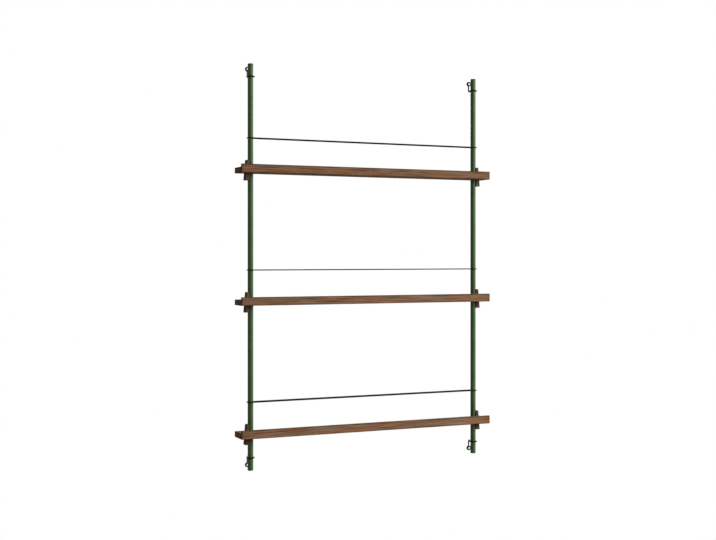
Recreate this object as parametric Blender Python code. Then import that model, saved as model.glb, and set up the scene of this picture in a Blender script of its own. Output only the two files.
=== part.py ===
# Magazine shelf that hangs on a wall: two upright tubes, three narrow boards that wedges lock
# to the tubes, a lip along the front of each board, an elastic band above each board and four
# bent wire brackets. The origin is on the wall, midway between the brackets' eyes. +X points
# right, +Y into the wall and +Z up. Lengths are in metres and angles in degrees.

import math

import bmesh
import bpy

# Uprights
upright_height = 1.150
tube_spacing = 0.720
tube_diameter = 0.016
tube_wall = 0.0015
wall_distance = 0.030
plug_head_height = 0.003
plug_stem_length = 0.012
plug_rounding = 0.0008

# Shelves, measured from the tubes' foot and from the tubes' axis
shelf_levels = ("lower", "middle", "upper")
first_shelf_height = 0.094
shelf_pitch = 0.373
shelf_overhang = 0.038
shelf_front = 0.0365
shelf_rear = 0.0265
board_thickness = 0.016
lip_thickness = 0.007
lip_height = 0.024
wood_rounding = 0.0008

# Wedges, whose thicknesses are beyond the tube's skin
wedge_length = 0.0574
wedge_below_board = 0.0202
wedge_width = 0.020
wedge_thin = 0.005
wedge_thick = 0.010
wedge_horn_from_axis = 0.0055
wedge_rounding = 0.0004

# Bands
band_diameter = 0.003
band_above_board = 0.0835

# Wire brackets, whose radii are the wire's centre line
wire_diameter = 0.004
ring_from_end = 0.0365
ring_tip_angle = 65
easing_radius = 0.004
wall_bend_radius = 0.005
eye_from_end = 0.012
eye_radius = 0.0052
eye_lift_start = 150
eye_lift_stop = -60
eye_tip_angle = -220

# Clearances
fit_gap = 0.0003
wire_gap = 0.0004
cutter_margin = 0.005

# Steps of round shapes
turned_sides = 32
slot_steps = 16
groove_steps = 10
band_end_steps = 14
ring_steps = 24
eye_steps = 32
bend_steps = 4

# Looks: colour, roughness and metallic value
green_coat = ((0.045, 0.085, 0.038), 0.42, 0.0)
green_plastic = ((0.040, 0.075, 0.034), 0.50, 0.0)
dark_wood = ((0.150, 0.078, 0.042), 0.60, 0.0)
dark_wire = ((0.012, 0.013, 0.012), 0.40, 0.0)
black_rubber = ((0.010, 0.010, 0.010), 0.70, 0.0)

tube_radius = tube_diameter / 2
grip_radius = tube_radius + fit_gap
half_spacing = tube_spacing / 2
half_shelf = half_spacing + shelf_overhang
half_height = upright_height / 2
wedge_top = wedge_length - wedge_below_board
wedge_taper = (wedge_thick - wedge_thin) / wedge_length
sides = {"left": -1, "right": 1}


def clear_scene():
    for obj in list(bpy.data.objects):
        bpy.data.objects.remove(obj, do_unlink=True)


def surface(name, look):
    colour, roughness, metallic = look
    material = bpy.data.materials.new(name + "_surface")
    material.use_nodes = True
    shader = material.node_tree.nodes["Principled BSDF"]
    shader.inputs["Base Color"].default_value = (*colour, 1)
    shader.inputs["Roughness"].default_value = roughness
    shader.inputs["Metallic"].default_value = metallic
    return material


def add_object(name, data, parent, look=None):
    obj = bpy.data.objects.new(name, data)
    bpy.context.scene.collection.objects.link(obj)
    obj.parent = parent
    if look:
        data.materials.append(surface(name, look))
    return obj


def add_empty(name, location, parent=None):
    empty = add_object(name, None, parent)
    empty.location = location
    empty.empty_display_size = 0.02
    return empty


def add_mesh(name, bm, parent, look=None):
    bmesh.ops.recalc_face_normals(bm, faces=bm.faces)
    mesh = bpy.data.meshes.new(name)
    bm.to_mesh(mesh)
    bm.free()
    mesh.shade_smooth()
    mesh.set_sharp_from_angle(angle=math.radians(35))
    return add_object(name, mesh, parent, look)


def arc(centre, radius, start, stop, steps):
    """Points of a circle's arc in its own plane, both ends included."""
    turns = [math.radians(start + (stop - start) * step / steps) for step in range(steps + 1)]
    return [(centre[0] + radius * math.cos(turn), centre[1] + radius * math.sin(turn)) for turn in turns]


def turned(profile, closed):
    """A profile of (radius, height) points turned once round the Z axis."""
    bm = bmesh.new()
    points = [bm.verts.new((radius, 0, height)) for radius, height in profile]
    pairs = list(zip(points, points[1:]))
    if closed:
        pairs.append((points[-1], points[0]))
    edges = [bm.edges.new(pair) for pair in pairs]
    bmesh.ops.spin(
        bm, geom=points + edges, cent=(0, 0, 0), axis=(0, 0, 1),
        angle=math.tau, steps=turned_sides, use_merge=True,
    )
    bmesh.ops.remove_doubles(bm, verts=bm.verts, dist=1e-6)
    return bm


def block(low, high):
    bm = bmesh.new()
    bmesh.ops.create_cube(bm, size=1)
    for vert in bm.verts:
        for axis in range(3):
            vert.co[axis] = low[axis] if vert.co[axis] < 0 else high[axis]
    return bm


def add_prism(bm, low_outline, low, high_outline, high):
    """A solid between two outlines of as many points, at two heights."""
    bottom = [bm.verts.new((x, y, low)) for x, y in low_outline]
    top = [bm.verts.new((x, y, high)) for x, y in high_outline]
    bm.faces.new(bottom)
    bm.faces.new(top)
    for index in range(len(bottom)):
        after = (index + 1) % len(bottom)
        bm.faces.new((bottom[index], bottom[after], top[after], top[index]))


def round_edges(obj, width):
    bevel = obj.modifiers.new("rounded edges", "BEVEL")
    bevel.width = width
    bevel.segments = 2
    bevel.limit_method = "ANGLE"
    bevel.angle_limit = math.radians(50)


def add_wire(name, points, diameter, parent, look, cyclic=False):
    curve = bpy.data.curves.new(name, "CURVE")
    curve.dimensions = "3D"
    curve.bevel_depth = diameter / 2
    curve.bevel_resolution = 2
    curve.use_fill_caps = not cyclic
    spline = curve.splines.new("POLY")
    spline.points.add(len(points) - 1)
    for spline_point, point in zip(spline.points, points):
        spline_point.co = (*point, 1)
    spline.use_cyclic_u = cyclic
    return add_object(name, curve, parent, look)


def wedge_face(height):
    """Distance from a tube's axis to its wedge's outer face, at a height above the board's underside."""
    return tube_radius + wedge_thin + (wedge_top - height) * wedge_taper


def add_upright(side, parent):
    """A tube with a push-in plug at each end, all on the tube's axis."""
    tube_end = half_height - plug_head_height - fit_gap
    bore_radius = tube_radius - tube_wall
    tube_profile = [
        (bore_radius, -tube_end), (tube_radius, -tube_end), (tube_radius, tube_end), (bore_radius, tube_end),
    ]
    add_mesh(f"{side}_tube", turned(tube_profile, True), parent, green_coat)

    stem_radius = bore_radius - fit_gap
    stem_end = half_height - plug_head_height - plug_stem_length
    rounding_centre = (tube_radius - plug_rounding, half_height - plug_rounding)
    plug_profile = [
        (0, stem_end), (stem_radius - plug_rounding, stem_end), (stem_radius, stem_end + plug_rounding),
        (stem_radius, half_height - plug_head_height), (tube_radius, half_height - plug_head_height),
        *arc(rounding_centre, plug_rounding, 0, 90, bend_steps), (0, half_height),
    ]
    for end, up in (("bottom", -1), ("top", 1)):
        profile = [(radius, up * height) for radius, height in plug_profile]
        add_mesh(f"{side}_{end}_plug", turned(profile, False), parent, green_plastic)


def lift(angle):
    """Share of the way from the eye's first turn, on the wall, to the turn in front of it."""
    share = (eye_lift_start - angle) / (eye_lift_start - eye_lift_stop)
    share = min(max(share, 0), 1)
    return share * share * (3 - 2 * share)


def bracket_points():
    """One wire with the tube's axis at 0, 0: ring from its tip, arm, stem on the wall, coiled eye."""
    ring_radius = grip_radius + wire_diameter / 2
    wall_layer = wall_distance - wire_diameter / 2
    eye_height = ring_from_end - eye_from_end
    ring_easing = math.sqrt((ring_radius + easing_radius) ** 2 - easing_radius ** 2)
    eye_easing = math.sqrt((eye_radius + easing_radius) ** 2 - easing_radius ** 2)
    ring_turn = math.degrees(math.atan2(ring_easing, easing_radius))
    eye_turn = math.degrees(math.atan2(eye_easing, easing_radius))

    ring = arc((0, 0), ring_radius, ring_tip_angle, -180 - ring_turn, ring_steps)
    arm_start = arc((-easing_radius, ring_easing), easing_radius, -ring_turn, 0, bend_steps)
    wall_bend = arc((wall_layer - wall_bend_radius, wall_bend_radius), wall_bend_radius, -90, 0, bend_steps)
    stem_end = arc((-easing_radius, eye_height - eye_easing), easing_radius, 0, eye_turn, bend_steps)

    points = [(x, y, 0) for x, y in ring + arm_start[1:]]
    points += [(0, y, z) for y, z in wall_bend]
    points += [(x, wall_layer, z) for x, z in stem_end]
    for step in range(1, eye_steps + 1):
        angle = 180 + eye_turn + (eye_tip_angle - 180 - eye_turn) * step / eye_steps
        turn = math.radians(angle)
        forward = lift(angle) * (wire_diameter + wire_gap)
        x = eye_radius * math.cos(turn)
        z = eye_height + eye_radius * math.sin(turn)
        points.append((x, wall_layer - forward, z))
    return points


def add_brackets(side, parent):
    for end, up in (("bottom", -1), ("top", 1)):
        ring_height = half_height - ring_from_end
        points = [(x, y, up * (ring_height + z)) for x, y, z in bracket_points()]
        add_wire(f"{side}_{end}_bracket", points, wire_diameter, parent, dark_wire)


def slot_outline(height):
    """A slot in the board's right end at one height: round at the tube and wider at the wedge."""
    half_width = wedge_width / 2 + fit_gap
    ledge = half_spacing + wedge_horn_from_axis - fit_gap
    slot_end = half_spacing + wedge_face(height) + fit_gap
    tube_side = arc((half_spacing, 0), grip_radius, 90, 270, slot_steps)
    wedge_side = [(ledge, -grip_radius), (ledge, -half_width), (slot_end, -half_width)]
    return tube_side + wedge_side + [(x, -y) for x, y in wedge_side[::-1]]


def add_slot_cutter(name, parent):
    """Both slots of a board, whose flat ends slope like the wedges."""
    bm = bmesh.new()
    low, high = -cutter_margin, board_thickness + cutter_margin
    for side in sides.values():
        low_outline = [(side * x, y) for x, y in slot_outline(low)]
        high_outline = [(side * x, y) for x, y in slot_outline(high)]
        add_prism(bm, low_outline, low, high_outline, high)
    cutter = add_mesh(name, bm, parent)
    cutter.hide_render = True
    cutter.display_type = "WIRE"
    return cutter


def add_shelf(level, parent):
    """A slotted board and the lip along its front edge, both with their underside at 0."""
    board_front = -shelf_front + lip_thickness + fit_gap
    board = block((-half_shelf, board_front, 0), (half_shelf, shelf_rear, board_thickness))
    board = add_mesh(f"{level}_board", board, parent, dark_wood)
    round_edges(board, wood_rounding)
    slots = board.modifiers.new("slots", "BOOLEAN")
    slots.operation = "DIFFERENCE"
    slots.solver = "EXACT"
    slots.object = add_slot_cutter(f"{level}_slot_cutter", parent)

    lip = block((-half_shelf, -shelf_front, 0), (half_shelf, -shelf_front + lip_thickness, lip_height))
    lip = add_mesh(f"{level}_lip", lip, parent, dark_wood)
    round_edges(lip, wood_rounding)


def wedge_outline(height):
    """A right wedge at one height, with the tube's axis at 0, 0: a groove round the tube, flat outside."""
    groove_turn = math.degrees(math.acos(wedge_horn_from_axis / grip_radius))
    groove = arc((0, 0), grip_radius, groove_turn, -groove_turn, groove_steps)
    half_width = wedge_width / 2
    outside = wedge_face(height)
    corners = [(wedge_horn_from_axis, -half_width), (outside, -half_width)]
    corners += [(x, -y) for x, y in corners[::-1]]
    return corners + groove


def add_wedge(level, side, parent):
    bm = bmesh.new()
    low, high = -wedge_below_board, wedge_top
    low_outline = [(sides[side] * x, y) for x, y in wedge_outline(low)]
    high_outline = [(sides[side] * x, y) for x, y in wedge_outline(high)]
    add_prism(bm, low_outline, low, high_outline, high)
    wedge = add_mesh(f"{level}_{side}_wedge", bm, parent, dark_wood)
    round_edges(wedge, wedge_rounding)


def add_band(level, parent):
    """One closed loop round both tubes, with a straight strand in front of them and one behind."""
    bend_radius = grip_radius + band_diameter / 2
    right_end = arc((half_spacing, 0), bend_radius, -90, 90, band_end_steps)
    left_end = [(-x, -y) for x, y in right_end]
    points = [(x, y, 0) for x, y in right_end + left_end]
    add_wire(f"{level}_band", points, band_diameter, parent, black_rubber, cyclic=True)


def build():
    clear_scene()
    for side in sides:
        upright = add_empty(f"{side}_upright", (sides[side] * half_spacing, -wall_distance, 0))
        add_upright(side, upright)
        add_brackets(side, upright)
    for number, level in enumerate(shelf_levels):
        underside = first_shelf_height + number * shelf_pitch - half_height
        shelf = add_empty(f"{level}_shelf_slide", (0, -wall_distance, underside))
        add_shelf(level, shelf)
        for side in sides:
            wedge_slide = add_empty(f"{level}_{side}_wedge_slide", (sides[side] * half_spacing, 0, 0), shelf)
            add_wedge(level, side, wedge_slide)
        band_height = underside + board_thickness + band_above_board
        add_band(level, add_empty(f"{level}_band_slide", (0, -wall_distance, band_height)))


build()
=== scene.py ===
import math

import bmesh
import bpy
from mathutils import Matrix, Vector


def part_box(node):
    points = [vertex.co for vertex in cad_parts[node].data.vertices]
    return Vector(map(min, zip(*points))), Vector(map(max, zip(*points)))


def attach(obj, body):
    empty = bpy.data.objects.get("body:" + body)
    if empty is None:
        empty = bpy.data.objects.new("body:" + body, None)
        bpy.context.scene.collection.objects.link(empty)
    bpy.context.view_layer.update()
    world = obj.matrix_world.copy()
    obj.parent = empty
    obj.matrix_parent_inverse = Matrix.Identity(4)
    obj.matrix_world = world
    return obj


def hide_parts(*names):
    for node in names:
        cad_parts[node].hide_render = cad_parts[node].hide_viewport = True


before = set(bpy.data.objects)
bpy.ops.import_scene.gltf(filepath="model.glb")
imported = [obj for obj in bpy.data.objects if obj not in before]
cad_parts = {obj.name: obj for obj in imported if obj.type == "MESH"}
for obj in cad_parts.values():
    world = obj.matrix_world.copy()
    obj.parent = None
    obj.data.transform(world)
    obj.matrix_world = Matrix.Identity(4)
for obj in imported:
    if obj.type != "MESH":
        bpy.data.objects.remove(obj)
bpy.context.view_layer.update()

# A shelf for magazines: three wood boards wedged onto two green tubes, which hang on wire
# brackets, with an elastic cord above each board. +X right, +Y into the wall, +Z up, in metres.

sides = {"left": -1, "right": 1}
levels = ("lower", "middle", "upper")
samePlace = 1e-6              # metres

print("camera")
camera = {
    "location": (-1.4331, -3.1831, 0.0322),
    "turn": -24.03,         # degrees about the vertical, looking level
    "lens": 59.02,          # mm on a 36 mm wide sensor
    "shiftUp": -0.02006,    # share of the picture's width
}

cameraData = bpy.data.cameras.new("photoCamera")
cameraData.sensor_width = 36
cameraData.lens = camera["lens"]
cameraData.shift_y = camera["shiftUp"]
cameraObject = bpy.data.objects.new("photoCamera", cameraData)
cameraObject.location = camera["location"]
cameraObject.rotation_euler = (math.radians(90), 0, math.radians(camera["turn"]))
bpy.context.scene.collection.objects.link(cameraObject)
bpy.context.scene.camera = cameraObject
bpy.context.scene.view_settings.view_transform = "Standard"


# sRGB hex to the linear colour that a socket takes
def hexColour(code):
    channels = [int(code[place:place + 2], 16) / 255 for place in (1, 3, 5)]
    linear = [value / 12.92 if value <= 0.04045 else ((value + 0.055) / 1.055) ** 2.4
              for value in channels]
    return (*linear, 1)


# One node with its settings: a socket in inputs is linked, any other value is set
def addNode(tree, kind, inputs=None, stops=(), **settings):
    node = tree.nodes.new("ShaderNode" + kind)
    for name, value in settings.items():
        setattr(node, name, value)
    for key, value in (inputs or {}).items():
        if isinstance(value, bpy.types.NodeSocket):
            tree.links.new(value, node.inputs[key])
        else:
            node.inputs[key].default_value = value
    if stops:
        elements = node.color_ramp.elements
        elements.remove(elements[-1])
        elements[0].position, elements[0].color = stops[0]
        for position, colour in stops[1:]:
            elements.new(position).color = colour
    return node


def startMaterial(name):
    material = bpy.data.materials.new(name)
    material.use_nodes = True
    tree = material.node_tree
    return material, tree, tree.nodes["Principled BSDF"]


# Texture scale for a pattern whose repeat is this many millimetres
def perMetre(millimetres):
    return 1000 / millimetres


# A noise seldom leaves this span
noiseSpan = {"From Min": 0.3, "From Max": 0.7}

print("materials")
coatLook = {
    "colour": "#4E6B41",
    "shade": "#456039",       # where the coat lies a little thinner
    "cloudSize": 45,          # mm
    "peelSize": 1.6,          # mm, orange peel of the baked powder
    "peelHeight": 0.00001,    # metres
    "roughness": (0.32, 0.40),
    "specular": 0.13,
}
cloudSpan = (0.35, 0.65)      # noise values of the shade and of the full colour
peelStrength = 0.5


# Powder-coated steel: sprayed and baked, so a satin gloss over a very fine orange peel. The
# plugs' plastic and the bands' rubber are made up in the same way, with looks of their own.
def makeCoat(name, look):
    material, tree, shader = startMaterial(name)
    place = addNode(tree, "TexCoord").outputs["Object"]
    clouds = addNode(tree, "TexNoise", {"Vector": place, "Scale": perMetre(look["cloudSize"]),
                                        "Detail": 2})
    peel = addNode(tree, "TexNoise", {"Vector": place, "Scale": perMetre(look["peelSize"]),
                                      "Detail": 1})
    thin, full = cloudSpan
    colour = addNode(tree, "ValToRGB", {"Fac": clouds.outputs["Fac"]},
                     stops=[(thin, hexColour(look["shade"])), (full, hexColour(look["colour"]))])
    low, high = look["roughness"]
    rough = addNode(tree, "MapRange", {"Value": clouds.outputs["Fac"], **noiseSpan,
                                       "To Min": low, "To Max": high})
    bump = addNode(tree, "Bump", {"Height": peel.outputs["Fac"], "Strength": peelStrength,
                                  "Distance": look["peelHeight"]})
    shader.inputs["Specular IOR Level"].default_value = look["specular"]
    tree.links.new(colour.outputs["Color"], shader.inputs["Base Color"])
    tree.links.new(rough.outputs["Result"], shader.inputs["Roughness"])
    tree.links.new(bump.outputs["Normal"], shader.inputs["Normal"])
    return material


# Moulded polyethylene: the tubes' green, a little duller and quite even
plasticLook = {
    "colour": "#465F3D",
    "shade": "#405838",
    "cloudSize": 9,
    "peelSize": 0.35,         # mm, spark-eroded grain of the mould
    "peelHeight": 0.00002,
    "roughness": (0.48, 0.56),
    "specular": 0.14,
}

# Black powder coat on bent wire: nearly black, with a thin soft shine along each bend
wireLook = {
    "colour": "#101310",
    "shade": "#0B0D0B",
    "cloudSize": 12,
    "peelSize": 0.9,
    "peelHeight": 0.00002,
    "roughness": (0.34, 0.44),
    "specular": 0.12,
}

# Extruded rubber: black and matt, without a highlight
rubberLook = {
    "colour": "#0F0F0F",
    "shade": "#0B0B0B",
    "cloudSize": 20,
    "peelSize": 0.3,          # mm, drag marks of the extruding die
    "peelHeight": 0.00002,
    "roughness": (0.62, 0.72),
    "specular": 0.08,
}

tubeCoat = makeCoat("satinGreenPowderCoat", coatLook)
plugPlastic = makeCoat("mouldedGreenPolyethylene", plasticLook)
wireCoat = makeCoat("satinBlackPowderCoat", wireLook)
bandRubber = makeCoat("extrudedBlackRubber", rubberLook)

woodLook = {
    "early": "#8E6C54",       # pale wood of a ring
    "late": "#674830",        # dark line that ends a ring
    "rust": "#916345",        # warm clouds
    "drab": "#826A56",        # greyish clouds
    "pore": "#38241A",
    "tone": 1.0,              # brightness of the whole piece
    "endGrain": 0.95,         # how much light the cut ends keep
    "paintedEdgeShade": 0.5,          # painted shade along the softened edges
    "edgeWidth": 3.6,         # mm
    "edgeReach": (0.5, 1, 1),     # from the cut ends the painted shade reaches twice as far
    "ringWidth": 5.2,         # mm
    "ringShares": ((0, 0.3), (0.12, 0), (0.55, 0.15), (0.9, 1), (1, 0.3)),  # late wood across a ring
    "pithAway": (0.034, 0.052),     # metres from the piece's middle
    "waveHeight": 5.0,        # mm, how far the rings wander
    "waveLength": 170,        # mm, along the grain
    "waveWidth": 16,          # mm, across the grain
    "cloudLength": 80,
    "cloudWidth": 10,
    "rustSpan": (0.46, 0.60),     # noise values where the warm clouds begin and are full
    "rustMost": 0.9,
    "drabSpan": (0.48, 0.62),
    "drabMost": 0.8,
    "streakLength": 90,
    "streakWidth": 3.2,
    "streakTone": (0.62, 1.38),
    "fibreLength": 26,
    "fibreWidth": 0.7,        # drawn coarser than the real fibres, to show at all
    "fibreTone": (0.78, 1.16),
    "fibreHeight": 0.35,      # share of a pore's depth
    "poreLength": 9,
    "poreWidth": 0.8,         # drawn coarser too
    "poreSpan": (0.12, 0.30),     # from a pore's heart to its rim, in pore widths
    "poreMost": 0.7,
    "poreDepth": 0.00012,     # metres
    "grainStrength": 0.6,
    "endSpan": (0.6, 0.95),   # how squarely a face cuts the grain before it counts as an end
    "roughness": (0.74, 0.86),
    "specular": 0.03,
}
boardTones = {"lower": 1.12, "middle": 1.06, "upper": 0.97}
# The wedges' own wood, darker at the cut ends, and with less painted shade along the edges
wedgeLook = dict(woodLook, early="#755D4A", late="#5A4533", rust="#725240", drab="#6C5E4F",
                 endGrain=0.6, paintedEdgeShade=0.9, edgeReach=(1, 1, 1))


# Oiled hardwood: planed and rubbed with dark oil, so a low sheen, with open pores along the grain
def makeWood(name, low, high, grainTurn, shift, look):
    material, tree, shader = startMaterial(name)
    centre = (low + high) / 2
    coordinates = addNode(tree, "TexCoord").outputs
    place = coordinates["Object"]
    local = addNode(tree, "Mapping", {"Vector": place, "Location": centre, "Rotation": grainTurn},
                    vector_type="TEXTURE").outputs["Vector"]
    moved = addNode(tree, "VectorMath", {0: local, 1: shift}, operation="ADD").outputs["Vector"]

    def stretched(length, width):
        return addNode(tree, "VectorMath", {0: moved, 1: (width / length, 1, 1)},
                       operation="MULTIPLY").outputs["Vector"]

    # Growth rings round a pith outside the piece, wandering slowly along the grain
    wave = addNode(tree, "TexNoise", {"Vector": stretched(look["waveLength"], look["waveWidth"]),
                                      "Scale": perMetre(look["waveWidth"]), "Detail": 2,
                                      "Roughness": 0.45})
    centred = addNode(tree, "VectorMath", {0: wave.outputs["Color"], 1: (0.5, 0.5, 0.5)},
                      operation="SUBTRACT")
    reach = look["waveHeight"] / 1000 * 2
    wander = addNode(tree, "VectorMath", {0: centred.outputs["Vector"], 1: (0, reach, reach)},
                     operation="MULTIPLY")
    bent = addNode(tree, "VectorMath", {0: local, 1: wander.outputs["Vector"]}, operation="ADD")
    pith = addNode(tree, "VectorMath", {0: bent.outputs["Vector"], 1: (0, *look["pithAway"])},
                   operation="SUBTRACT")
    across = addNode(tree, "VectorMath", {0: pith.outputs["Vector"], 1: (0, 1, 1)},
                     operation="MULTIPLY")
    radius = addNode(tree, "VectorMath", {0: across.outputs["Vector"]}, operation="LENGTH")
    rings = addNode(tree, "Math", {0: radius.outputs["Value"], 1: perMetre(look["ringWidth"])},
                    operation="MULTIPLY")
    ring = addNode(tree, "Math", {0: rings.outputs["Value"]}, operation="FRACT")
    late = addNode(tree, "ValToRGB", {"Fac": ring.outputs["Value"]},
                   stops=[(position, (share, share, share, 1)) for position, share in look["ringShares"]])

    # Rusty and greyish clouds, and light and dark streaks along the grain
    clouds = addNode(tree, "TexNoise", {"Vector": stretched(look["cloudLength"], look["cloudWidth"]),
                                        "Scale": perMetre(look["cloudWidth"]), "Detail": 2,
                                        "Roughness": 0.5})
    cloudParts = addNode(tree, "SeparateColor", {"Color": clouds.outputs["Color"]})
    begin, full = look["rustSpan"]
    rustShare = addNode(tree, "MapRange", {"Value": cloudParts.outputs["Red"], "From Min": begin,
                                           "From Max": full, "To Min": 0, "To Max": look["rustMost"]})
    begin, full = look["drabSpan"]
    drabShare = addNode(tree, "MapRange", {"Value": cloudParts.outputs["Green"], "From Min": begin,
                                           "From Max": full, "To Min": 0, "To Max": look["drabMost"]})
    streaks = addNode(tree, "TexNoise", {"Vector": stretched(look["streakLength"], look["streakWidth"]),
                                         "Scale": perMetre(look["streakWidth"]), "Detail": 1,
                                         "Roughness": 0.5})
    dark, light = look["streakTone"]
    streakTone = addNode(tree, "MapRange", {"Value": streaks.outputs["Fac"], **noiseSpan,
                                            "To Min": dark, "To Max": light})
    fibres = addNode(tree, "TexNoise", {"Vector": stretched(look["fibreLength"], look["fibreWidth"]),
                                        "Scale": perMetre(look["fibreWidth"]), "Detail": 3,
                                        "Roughness": 0.6})
    dark, light = look["fibreTone"]
    fibreTone = addNode(tree, "MapRange", {"Value": fibres.outputs["Fac"], **noiseSpan,
                                           "To Min": dark, "To Max": light})
    pores = addNode(tree, "TexVoronoi", {"Vector": stretched(look["poreLength"], look["poreWidth"]),
                                         "Scale": perMetre(look["poreWidth"])})
    heart, rim = look["poreSpan"]
    pore = addNode(tree, "MapRange", {"Value": pores.outputs["Distance"], "From Min": heart,
                                      "From Max": rim, "To Min": 1, "To Max": 0},
                   interpolation_type="SMOOTHSTEP")

    ringMix = addNode(tree, "Mix", {0: late.outputs["Color"], 6: hexColour(look["early"]),
                                    7: hexColour(look["late"])}, data_type="RGBA")
    rustMix = addNode(tree, "Mix", {0: rustShare.outputs["Result"], 6: ringMix.outputs[2],
                                    7: hexColour(look["rust"])}, data_type="RGBA")
    drabMix = addNode(tree, "Mix", {0: drabShare.outputs["Result"], 6: rustMix.outputs[2],
                                    7: hexColour(look["drab"])}, data_type="RGBA")
    poreShare = addNode(tree, "Math", {0: pore.outputs["Result"], 1: look["poreMost"]},
                        operation="MULTIPLY")
    poreMix = addNode(tree, "Mix", {0: poreShare.outputs["Value"], 6: drabMix.outputs[2],
                                    7: hexColour(look["pore"])}, data_type="RGBA")
    lineTone = addNode(tree, "Math", {0: fibreTone.outputs["Result"], 1: streakTone.outputs["Result"]},
                       operation="MULTIPLY")
    fibreMix = addNode(tree, "VectorMath", {0: poreMix.outputs[2], "Scale": lineTone.outputs["Value"]},
                       operation="SCALE")

    # Cut ends drink more oil and turn darker
    facing = addNode(tree, "Mapping", {"Vector": coordinates["Normal"], "Rotation": grainTurn},
                     vector_type="TEXTURE")
    along = addNode(tree, "SeparateXYZ", {"Vector": facing.outputs["Vector"]})
    ends = addNode(tree, "Math", {0: along.outputs["X"]}, operation="ABSOLUTE")
    begin, full = look["endSpan"]
    endTone = addNode(tree, "MapRange", {"Value": ends.outputs["Value"], "From Min": begin,
                                         "From Max": full, "To Min": look["tone"],
                                         "To Max": look["tone"] * look["endGrain"]})

    # Painted shade along the edges: darker by the second least distance to the piece's six sides
    offset = addNode(tree, "VectorMath", {0: place, 1: centre}, operation="SUBTRACT")
    apart = addNode(tree, "VectorMath", {0: offset.outputs["Vector"]}, operation="ABSOLUTE")
    inward = addNode(tree, "VectorMath", {0: (high - low) / 2, 1: apart.outputs["Vector"]},
                     operation="SUBTRACT")
    inward = addNode(tree, "VectorMath", {0: inward.outputs["Vector"], 1: look["edgeReach"]},
                     operation="MULTIPLY")
    depth = addNode(tree, "SeparateXYZ", {"Vector": inward.outputs["Vector"]})
    lesser = addNode(tree, "Math", {0: depth.outputs["X"], 1: depth.outputs["Y"]},
                     operation="MINIMUM")
    greater = addNode(tree, "Math", {0: depth.outputs["X"], 1: depth.outputs["Y"]},
                      operation="MAXIMUM")
    greater = addNode(tree, "Math", {0: greater.outputs["Value"], 1: depth.outputs["Z"]},
                      operation="MINIMUM")
    second = addNode(tree, "Math", {0: lesser.outputs["Value"], 1: greater.outputs["Value"]},
                     operation="MAXIMUM")
    paintedEdgeShade = addNode(tree, "MapRange", {"Value": second.outputs["Value"], "From Min": 0,
                                          "From Max": look["edgeWidth"] / 1000,
                                          "To Min": look["paintedEdgeShade"], "To Max": 1},
                       interpolation_type="SMOOTHSTEP")
    # Darker cut ends of the grain, times the painted shade along the edges
    endGrainAndPaintedEdgeShade = addNode(tree, "Math", {0: endTone.outputs["Result"], 1: paintedEdgeShade.outputs["Result"]},
                        operation="MULTIPLY")
    tone = addNode(tree, "VectorMath", {0: fibreMix.outputs["Vector"],
                                        "Scale": endGrainAndPaintedEdgeShade.outputs["Value"]}, operation="SCALE")

    smooth, dull = look["roughness"]
    rough = addNode(tree, "MapRange", {"Value": fibres.outputs["Fac"], **noiseSpan,
                                       "To Min": smooth, "To Max": dull})
    fibreHeight = addNode(tree, "Math", {0: fibres.outputs["Fac"], 1: look["fibreHeight"]},
                          operation="MULTIPLY")
    height = addNode(tree, "Math", {0: fibreHeight.outputs["Value"], 1: pore.outputs["Result"]},
                     operation="SUBTRACT")
    bump = addNode(tree, "Bump", {"Height": height.outputs["Value"], "Strength": look["grainStrength"],
                                  "Distance": look["poreDepth"]})
    shader.inputs["Specular IOR Level"].default_value = look["specular"]
    tree.links.new(tone.outputs["Vector"], shader.inputs["Base Color"])
    tree.links.new(rough.outputs["Result"], shader.inputs["Roughness"])
    tree.links.new(bump.outputs["Normal"], shader.inputs["Normal"])
    return material


# Makes an object of a finished mesh, in place of its CAD node
def addPiece(bm, name, node, body, material, flatFaces=False):
    bmesh.ops.remove_doubles(bm, verts=bm.verts, dist=samePlace)
    bmesh.ops.recalc_face_normals(bm, faces=bm.faces)
    mesh = bpy.data.meshes.new(name)
    bm.to_mesh(mesh)
    bm.free()
    mesh.shade_smooth()
    mesh.materials.append(material)
    piece = bpy.data.objects.new(name, mesh)
    bpy.context.scene.collection.objects.link(piece)
    if flatFaces:
        # Soft edges shade round, and wide faces stay flat
        piece.modifiers.new("flatFaces", "WEIGHTED_NORMAL").weight = 100
    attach(piece, body)
    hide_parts(node)


def sharpEdges(bm, degrees):
    bmesh.ops.recalc_face_normals(bm, faces=bm.faces)
    return [edge for edge in bm.edges
            if edge.is_manifold and edge.calc_face_angle() > math.radians(degrees)]


def softenEdges(bm, edges, width, segments):
    bmesh.ops.bevel(bm, geom=edges, offset=width, segments=segments, profile=0.5, affect="EDGES",
                    material=-1)


# A line of radius and height points, turned once about the Z axis
def lathe(profile, closed, steps):
    bm = bmesh.new()
    points = [bm.verts.new((radius, 0, height)) for radius, height in profile]
    pairs = list(zip(points, points[1:])) + ([(points[-1], points[0])] if closed else [])
    edges = [bm.edges.new(pair) for pair in pairs]
    bmesh.ops.spin(bm, geom=points + edges, cent=(0, 0, 0), axis=(0, 0, 1),
                   angle=math.tau, steps=steps, use_merge=True)
    bmesh.ops.remove_doubles(bm, verts=bm.verts, dist=samePlace)
    return bm


print("tubes")
tube = {
    "steps": 96,
    "wall": 0.0015,
    "endRounding": 0.0004,
}
upright = {}

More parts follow.
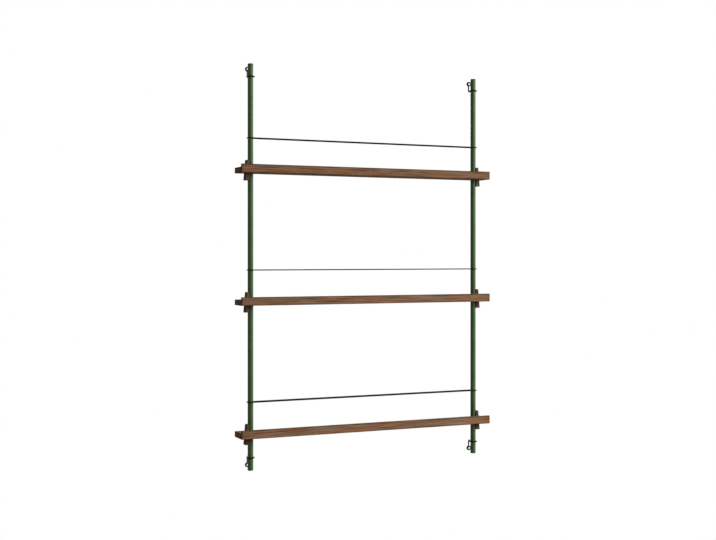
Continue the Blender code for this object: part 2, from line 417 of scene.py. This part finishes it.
for side in sides:
    low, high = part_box(f"{side}_tube")
    radius = (high.x - low.x) / 2
    length = high.z - low.z
    upright[side] = {"x": (low.x + high.x) / 2, "y": (low.y + high.y) / 2, "radius": radius}
    bore = radius - tube["wall"]
    bm = lathe([(bore, 0), (radius, 0), (radius, length), (bore, length)], True, tube["steps"])
    softenEdges(bm, sharpEdges(bm, degrees=60), tube["endRounding"], segments=3)
    bmesh.ops.translate(bm, verts=bm.verts, vec=(upright[side]["x"], upright[side]["y"], low.z))
    addPiece(bm, f"{side}_tube_coated", f"{side}_tube", "uprights", tubeCoat,
             flatFaces=True)

print("end plugs")
plug = {
    "steps": 96,
    "headHeight": 0.003,
    "stemGap": 0.0003,
    "dome": 0.0005,
    "domeShoulder": 0.75,     # shares of the radius
    "domeFlat": 0.4,
    "shoulderDrop": 0.35,     # share of the dome's rise
    "rimRounding": 0.0009,
    "stemRounding": 0.0006,
}

for side in sides:
    radius = upright[side]["radius"]
    stem = radius - tube["wall"] - plug["stemGap"]
    for end, up in (("bottom", -1), ("top", 1)):
        low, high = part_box(f"{side}_{end}_plug")
        length = high.z - low.z
        under = length - plug["headHeight"]
        profile = [(0, 0), (stem, 0), (stem, under), (radius, under), (radius, length - plug["dome"]),
                   (radius * plug["domeShoulder"], length - plug["dome"] * plug["shoulderDrop"]),
                   (radius * plug["domeFlat"], length), (0, length)]
        bm = lathe(profile, False, plug["steps"])
        headMiddle = under + plug["headHeight"] / 2
        rims = sharpEdges(bm, degrees=60)
        softenEdges(bm, [edge for edge in rims if edge.verts[0].co.z > headMiddle],
                    plug["rimRounding"], segments=5)
        rims = sharpEdges(bm, degrees=60)
        softenEdges(bm, [edge for edge in rims if edge.verts[0].co.z < under / 2],
                    plug["stemRounding"], segments=3)
        foot = low.z if up > 0 else high.z
        bmesh.ops.scale(bm, verts=bm.verts, vec=(1, 1, up))
        bmesh.ops.translate(bm, verts=bm.verts, vec=(upright[side]["x"], upright[side]["y"], foot))
        addPiece(bm, f"{side}_{end}_plug_moulded", f"{side}_{end}_plug", "uprights",
                 plugPlastic)

print("wire brackets")
bracket = {
    "wire": 0.004,
    "wireSides": 28,
    "gripGap": 0.0003,
    "wireGap": 0.0004,        # between the eye's two layers
    "ringTip": 65,            # degrees from +X where the open ring begins
    "easing": 0.004,          # where the wire leaves the ring and where it enters the eye
    "wallBend": 0.005,
    "ringToEye": 0.0245,
    "eyeRadius": 0.0052,      # of the wire's centre line, as the other radii
    "eyeLift": (150, -60),    # degrees round the eye between which the wire climbs off the wall
    "eyeTip": -220,
    "degreesPerStep": 7.5,
    "cutRounding": 0.0006,
}


# Bends the open end of a tube of faces about an axis, drifting sideways, and returns the new end
def bendEnd(bm, end, centre, axis, degrees, steps, drift=(0, 0, 0)):
    corners = list(dict.fromkeys(vert for edge in end for vert in edge.verts))
    made = bmesh.ops.spin(bm, geom=end + corners, cent=centre, axis=axis, angle=math.radians(degrees),
                          steps=steps, use_merge=False, dvec=drift)
    return [item for item in made["geom_last"] if isinstance(item, bmesh.types.BMEdge)]


# Draws the open end of a tube of faces out along a line, and returns the new end
def drawEnd(bm, end, way):
    made = bmesh.ops.extrude_edge_only(bm, edges=end)["geom"]
    corners = [item for item in made if isinstance(item, bmesh.types.BMVert)]
    bmesh.ops.translate(bm, verts=corners, vec=way)
    return [item for item in made if isinstance(item, bmesh.types.BMEdge)]


def closeEnd(bm, end, rounding):
    cut = bmesh.ops.edgeloop_fill(bm, edges=end)["faces"][0]
    softenEdges(bm, list(cut.edges), rounding, segments=3)


# Share of the way from the eye's turn on the wall to its turn in front, at an angle round the eye
def eyeLift(angle):
    first, last = bracket["eyeLift"]
    share = min(max((first - angle) / (first - last), 0), 1)
    return share * share * (3 - 2 * share)


def stepsFor(degrees):
    return max(2, round(abs(degrees) / bracket["degreesPerStep"]))


# One wire with the tube's axis at 0, 0: ring from its tip, arm, stem on the wall, coiled eye
def bendBracket(tubeRadius, wallLayer):
    wire, easing, wallBend = bracket["wire"], bracket["easing"], bracket["wallBend"]
    eyeRadius, eyeHeight = bracket["eyeRadius"], bracket["ringToEye"]
    ringRadius = tubeRadius + bracket["gripGap"] + wire / 2
    ringRise = math.sqrt((ringRadius + easing) ** 2 - easing ** 2)
    eyeDrop = math.sqrt((eyeRadius + easing) ** 2 - easing ** 2)
    ringTurn = math.degrees(math.atan2(ringRise, easing))
    eyeTurn = math.degrees(math.atan2(eyeDrop, easing))
    ringBend = bracket["ringTip"] + 180 + ringTurn

    bm = bmesh.new()
    start = (Matrix.Rotation(math.radians(bracket["ringTip"]), 4, "Z")
             @ Matrix.Translation((ringRadius, 0, 0)) @ Matrix.Rotation(math.radians(90), 4, "X"))
    circle = bmesh.ops.create_circle(bm, segments=bracket["wireSides"], radius=wire / 2,
                                     matrix=start)
    tip = list(dict.fromkeys(edge for vert in circle["verts"] for edge in vert.link_edges))
    end = bendEnd(bm, tip, (0, 0, 0), (0, 0, 1), -ringBend, stepsFor(ringBend))
    end = bendEnd(bm, end, (-easing, ringRise, 0), (0, 0, 1), ringTurn, stepsFor(ringTurn))
    end = drawEnd(bm, end, (0, wallLayer - wallBend - ringRise, 0))
    end = bendEnd(bm, end, (0, wallLayer - wallBend, wallBend), (1, 0, 0), 90, stepsFor(90))
    end = drawEnd(bm, end, (0, 0, eyeHeight - eyeDrop - wallBend))
    end = bendEnd(bm, end, (-easing, 0, eyeHeight - eyeDrop), (0, 1, 0), -eyeTurn, stepsFor(eyeTurn))

    angle = 180 + eyeTurn
    steps = stepsFor(angle - bracket["eyeTip"])
    step = (angle - bracket["eyeTip"]) / steps
    for _ in range(steps):
        climb = (eyeLift(angle - step) - eyeLift(angle)) * (wire + bracket["wireGap"])
        end = bendEnd(bm, end, (0, 0, eyeHeight), (0, 1, 0), step, 1, (0, -climb, 0))
        angle -= step
    closeEnd(bm, end, bracket["cutRounding"])
    closeEnd(bm, [edge for edge in bm.edges if edge.is_boundary], bracket["cutRounding"])
    return bm


for side in sides:
    for end, up in (("bottom", -1), ("top", 1)):
        low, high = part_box(f"{side}_{end}_bracket")
        axisX, axisY, radius = upright[side]["x"], upright[side]["y"], upright[side]["radius"]
        bm = bendBracket(radius, high.y - axisY - bracket["wire"] / 2)
        bmesh.ops.scale(bm, verts=bm.verts, vec=(1, 1, up))
        ringHeight = (low.z if up > 0 else high.z) + up * bracket["wire"] / 2
        bmesh.ops.translate(bm, verts=bm.verts, vec=(axisX, axisY, ringHeight))
        addPiece(bm, f"{side}_{end}_bracket_wire", f"{side}_{end}_bracket", "uprights",
                 wireCoat)

print("boards")
board = {
    "gap": 0.0003,            # round the tube and beside the wedge
    "slotSteps": 32,
    "rounding": 0.0008,
    "roundingSteps": 4,
    "wedgeBeyondTube": (0.005, 0.010),   # wedge's thickness at its top and foot
    "wedgeLength": 0.0574,
    "wedgeBelow": 0.0202,
    "wedgeWidth": 0.020,
    "hornFromAxis": 0.0055,   # where the wedge's two horns end beside the tube
}
wedgeSlope = (board["wedgeBeyondTube"][1] - board["wedgeBeyondTube"][0]) / board["wedgeLength"]
grainShifts = {"lower": 0.41, "middle": 1.73, "upper": 3.07}     # metres, for grain of its own


# Distance from a tube's axis to its wedge's outer face, at a height above the board's underside
def wedgeFace(height, tubeRadius):
    fromTop = board["wedgeLength"] - board["wedgeBelow"] - height
    return tubeRadius + board["wedgeBeyondTube"][0] + fromTop * wedgeSlope


for level in levels:
    low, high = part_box(f"{level}_board")
    thickness = high.z - low.z
    bm = bmesh.new()
    corners = [bm.verts.new((x, y, 0)) for x, y in
               ((low.x, low.y), (high.x, low.y), (high.x, high.y), (low.x, high.y))]
    for index in range(4):
        bm.edges.new((corners[index], corners[index - 1]))
    slotEnds = []
    for side, out in sides.items():
        axisX, axisY, radius = upright[side]["x"], upright[side]["y"], upright[side]["radius"]
        grip = radius + board["gap"]
        first = bm.verts.new((axisX, axisY - grip, 0))
        bmesh.ops.spin(bm, geom=[first], cent=(axisX, axisY, 0), axis=(0, 0, 1), angle=-out * math.pi,
                       steps=board["slotSteps"], use_merge=False)
        last = min(bm.verts, key=lambda vert: (vert.co - Vector((axisX, axisY + grip, 0))).length)
        # Past the tube the slot widens to take the wedge
        face = axisX + out * (wedgeFace(thickness, radius) + board["gap"])
        ledge = axisX + out * (board["hornFromAxis"] - board["gap"])
        halfWidth = board["wedgeWidth"] / 2 + board["gap"]
        outline = [bm.verts.new((x, axisY + y, 0)) for x, y in
                   ((ledge, -grip), (ledge, -halfWidth), (face, -halfWidth),
                    (face, halfWidth), (ledge, halfWidth), (ledge, grip))]
        for pair in zip([first] + outline, outline + [last]):
            bm.edges.new(pair)
        slotEnds.append((axisX, out, face))
    rims = bm.edges[:]
    top = bmesh.ops.triangle_fill(bm, use_beauty=True, use_dissolve=False, edges=rims)["geom"]
    faces = [item for item in top if isinstance(item, bmesh.types.BMFace)]
    pushed = bmesh.ops.extrude_face_region(bm, geom=faces, use_keep_orig=True)["geom"]
    under = [item for item in pushed if isinstance(item, bmesh.types.BMVert)]
    bmesh.ops.translate(bm, verts=under, vec=(0, 0, -thickness))
    # The slot's flat end slopes with its wedge
    for axisX, out, face in slotEnds:
        for vert in under:
            if abs(vert.co.x - face) < samePlace:
                vert.co.x += out * wedgeSlope * thickness
    softenEdges(bm, sharpEdges(bm, degrees=40), board["rounding"], board["roundingSteps"])
    bmesh.ops.translate(bm, verts=bm.verts, vec=(0, 0, high.z))
    wood = makeWood(f"{level}BoardOiledWood", low, high, (0, 0, 0), (grainShifts[level], 0.2, 0.1),
                    dict(woodLook, tone=boardTones[level]))
    addPiece(bm, f"{level}_board_oiled", f"{level}_board", f"{level}_shelf", wood,
             flatFaces=True)

print("lips")
lip = {
    "rounding": 0.001,
    "roundingSteps": 4,
}

for level in levels:
    low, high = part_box(f"{level}_lip")
    bm = bmesh.new()
    bmesh.ops.create_cube(bm, size=1)
    bmesh.ops.scale(bm, verts=bm.verts, vec=high - low)
    bmesh.ops.translate(bm, verts=bm.verts, vec=(low + high) / 2)
    softenEdges(bm, bm.edges[:], lip["rounding"], lip["roundingSteps"])
    wood = makeWood(f"{level}LipOiledWood", low, high, (0, 0, 0), (grainShifts[level] + 0.5, 0, 0),
                    dict(woodLook, tone=boardTones[level]))
    addPiece(bm, f"{level}_lip_oiled", f"{level}_lip", f"{level}_shelf", wood,
             flatFaces=True)

print("wedges")
wedge = {
    "gap": 0.0003,
    "grooveSteps": 20,
    "rounding": 0.00028,
    "roundingSteps": 3,
}

for level in levels:
    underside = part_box(f"{level}_board")[0].z
    for side, out in sides.items():
        low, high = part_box(f"{level}_{side}_wedge")
        axisX, axisY, radius = upright[side]["x"], upright[side]["y"], upright[side]["radius"]
        grip = radius + wedge["gap"]
        hornX, halfWidth = board["hornFromAxis"], board["wedgeWidth"] / 2
        hornTurn = math.acos(hornX / grip)
        foot, top = wedgeFace(low.z - underside, radius), wedgeFace(high.z - underside, radius)
        bm = bmesh.new()
        first = bm.verts.new((hornX, -grip * math.sin(hornTurn), 0))
        bmesh.ops.spin(bm, geom=[first], cent=(0, 0, 0), axis=(0, 0, 1), angle=2 * hornTurn,
                       steps=wedge["grooveSteps"], use_merge=False)
        last = max(bm.verts, key=lambda vert: vert.co.y)
        outline = [bm.verts.new((x, y, 0)) for x, y in
                   ((hornX, -halfWidth), (foot, -halfWidth), (foot, halfWidth), (hornX, halfWidth))]
        for pair in zip([first] + outline, outline + [last]):
            bm.edges.new(pair)
        face = bmesh.ops.edgeloop_fill(bm, edges=bm.edges[:])["faces"][0]
        pushed = bmesh.ops.extrude_face_region(bm, geom=[face], use_keep_orig=True)["geom"]
        upper = [item for item in pushed if isinstance(item, bmesh.types.BMVert)]
        bmesh.ops.translate(bm, verts=upper, vec=(0, 0, high.z - low.z))
        for vert in upper:
            if abs(vert.co.x - foot) < samePlace:
                vert.co.x = top
        softenEdges(bm, sharpEdges(bm, degrees=40), wedge["rounding"], wedge["roundingSteps"])
        bmesh.ops.scale(bm, verts=bm.verts, vec=(out, 1, 1))
        bmesh.ops.translate(bm, verts=bm.verts, vec=(axisX, axisY, low.z))
        wood = makeWood(f"{level}{side.title()}WedgeOiledWood", low, high, (0, math.radians(-90), 0),
                        (grainShifts[level] + out * 0.3, 0.3, 0), wedgeLook)
        addPiece(bm, f"{level}_{side}_wedge_oiled", f"{level}_{side}_wedge", f"{level}_{side}_wedge",
                 wood, flatFaces=True)

print("bands")
band = {
    "diameter": 0.003,
    "gap": 0.0003,
    "sides": 20,
    "endSteps": 30,
}

for level in levels:
    low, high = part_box(f"{level}_band")
    rightX, axisY = upright["right"]["x"], upright["right"]["y"]
    reach = upright["right"]["radius"] + band["gap"] + band["diameter"] / 2
    bm = bmesh.new()
    start = Matrix.Translation((0, -reach, 0)) @ Matrix.Rotation(math.radians(90), 4, "Y")
    circle = bmesh.ops.create_circle(bm, segments=band["sides"], radius=band["diameter"] / 2,
                                     matrix=start)
    end = list(dict.fromkeys(edge for vert in circle["verts"] for edge in vert.link_edges))
    end = drawEnd(bm, end, (rightX, 0, 0))
    end = bendEnd(bm, end, (rightX, 0, 0), (0, 0, 1), 180, band["endSteps"])
    end = drawEnd(bm, end, (-2 * rightX, 0, 0))
    end = bendEnd(bm, end, (-rightX, 0, 0), (0, 0, 1), 180, band["endSteps"])
    end = drawEnd(bm, end, (rightX, 0, 0))
    bmesh.ops.translate(bm, verts=bm.verts, vec=(0, axisY, (low.z + high.z) / 2))
    addPiece(bm, f"{level}_band_cord", f"{level}_band", f"{level}_band", bandRubber)

print("stage and light")
stage = {
    "floorHeight": -1.6,      # the object hangs with its middle at eye height
    "floorReach": 2,
    "floorColour": "#A8A7A5",
    "floorRoughness": 0.9,
    "shadowReach": (0.7, 1.9),    # the floor turns to plain white between these distances
    "whiteShare": (0.35, 1),      # and is already part white below the object
    "roomLight": 0.055,
}


# Share of white that a surface shows to the eye and to its reflections, but gives no light with
def seenShare(tree):
    rays = addNode(tree, "LightPath").outputs
    seen = addNode(tree, "Math", {0: rays["Is Camera Ray"], 1: rays["Is Glossy Ray"]},
                   operation="MAXIMUM")
    return addNode(tree, "Math", {0: seen.outputs["Value"], 1: rays["Is Transmission Ray"]},
                   operation="MAXIMUM").outputs["Value"]


floorMesh = bpy.data.meshes.new("floor")
bm = bmesh.new()
bmesh.ops.create_grid(bm, x_segments=2, y_segments=2, size=stage["floorReach"])
bmesh.ops.translate(bm, verts=bm.verts, vec=(0, 0, stage["floorHeight"]))
bm.to_mesh(floorMesh)
bm.free()
floor = bpy.data.objects.new("floor", floorMesh)
bpy.context.scene.collection.objects.link(floor)

# Pale painted floor: matt, with the object's shadow near it, and white further out
floorPaint, tree, shader = startMaterial("paleMattFloor")
shader.inputs["Base Color"].default_value = hexColour(stage["floorColour"])
shader.inputs["Roughness"].default_value = stage["floorRoughness"]
place = addNode(tree, "TexCoord").outputs["Object"]
flat = addNode(tree, "VectorMath", {0: place, 1: (1, 1, 0)}, operation="MULTIPLY")
distance = addNode(tree, "VectorMath", {0: flat.outputs["Vector"]}, operation="LENGTH")
near, far = stage["shadowReach"]
least, most = stage["whiteShare"]
fade = addNode(tree, "MapRange", {"Value": distance.outputs["Value"], "From Min": near, "From Max": far,
                                  "To Min": least, "To Max": most}, interpolation_type="SMOOTHSTEP")
share = addNode(tree, "Math", {0: seenShare(tree), 1: fade.outputs["Result"]}, operation="MULTIPLY")
white = addNode(tree, "Emission", {"Color": (1, 1, 1, 1), "Strength": 1})
mixed = addNode(tree, "MixShader", {0: share.outputs["Value"], 1: shader.outputs["BSDF"],
                                    2: white.outputs["Emission"]})
tree.links.new(mixed.outputs["Shader"], tree.nodes["Material Output"].inputs["Surface"])
floorMesh.materials.append(floorPaint)

# White all round for the eye and for reflections, and a low even room light on the object
room = bpy.data.worlds.new("studioRoom")
room.use_nodes = True
tree = room.node_tree
tree.nodes.clear()
dim = addNode(tree, "Background", {"Color": (1, 1, 1, 1), "Strength": stage["roomLight"]})
bright = addNode(tree, "Background", {"Color": (1, 1, 1, 1), "Strength": 1})
mixed = addNode(tree, "MixShader", {0: seenShare(tree), 1: dim.outputs["Background"],
                                    2: bright.outputs["Background"]})
addNode(tree, "OutputWorld", {"Surface": mixed.outputs["Shader"]})
bpy.context.scene.world = room

lamps = {
    "key": {"place": (3.4, -2.75, 1.3), "size": 2.2, "watts": 248},
    "fill": {"place": (-2.9, -2.0, 0.8), "size": 2.0, "watts": 9},
    "back": {"place": (1.4, 3.2, 1.8), "size": 2.4, "watts": 95},
}

for name, lamp in lamps.items():
    lampData = bpy.data.lights.new(name, "AREA")
    lampData.size = lamp["size"]
    lampData.energy = lamp["watts"]
    lampObject = bpy.data.objects.new(name, lampData)
    lampObject.location = lamp["place"]
    lampObject.rotation_euler = (-Vector(lamp["place"])).to_track_quat("-Z", "Y").to_euler()
    bpy.context.scene.collection.objects.link(lampObject)
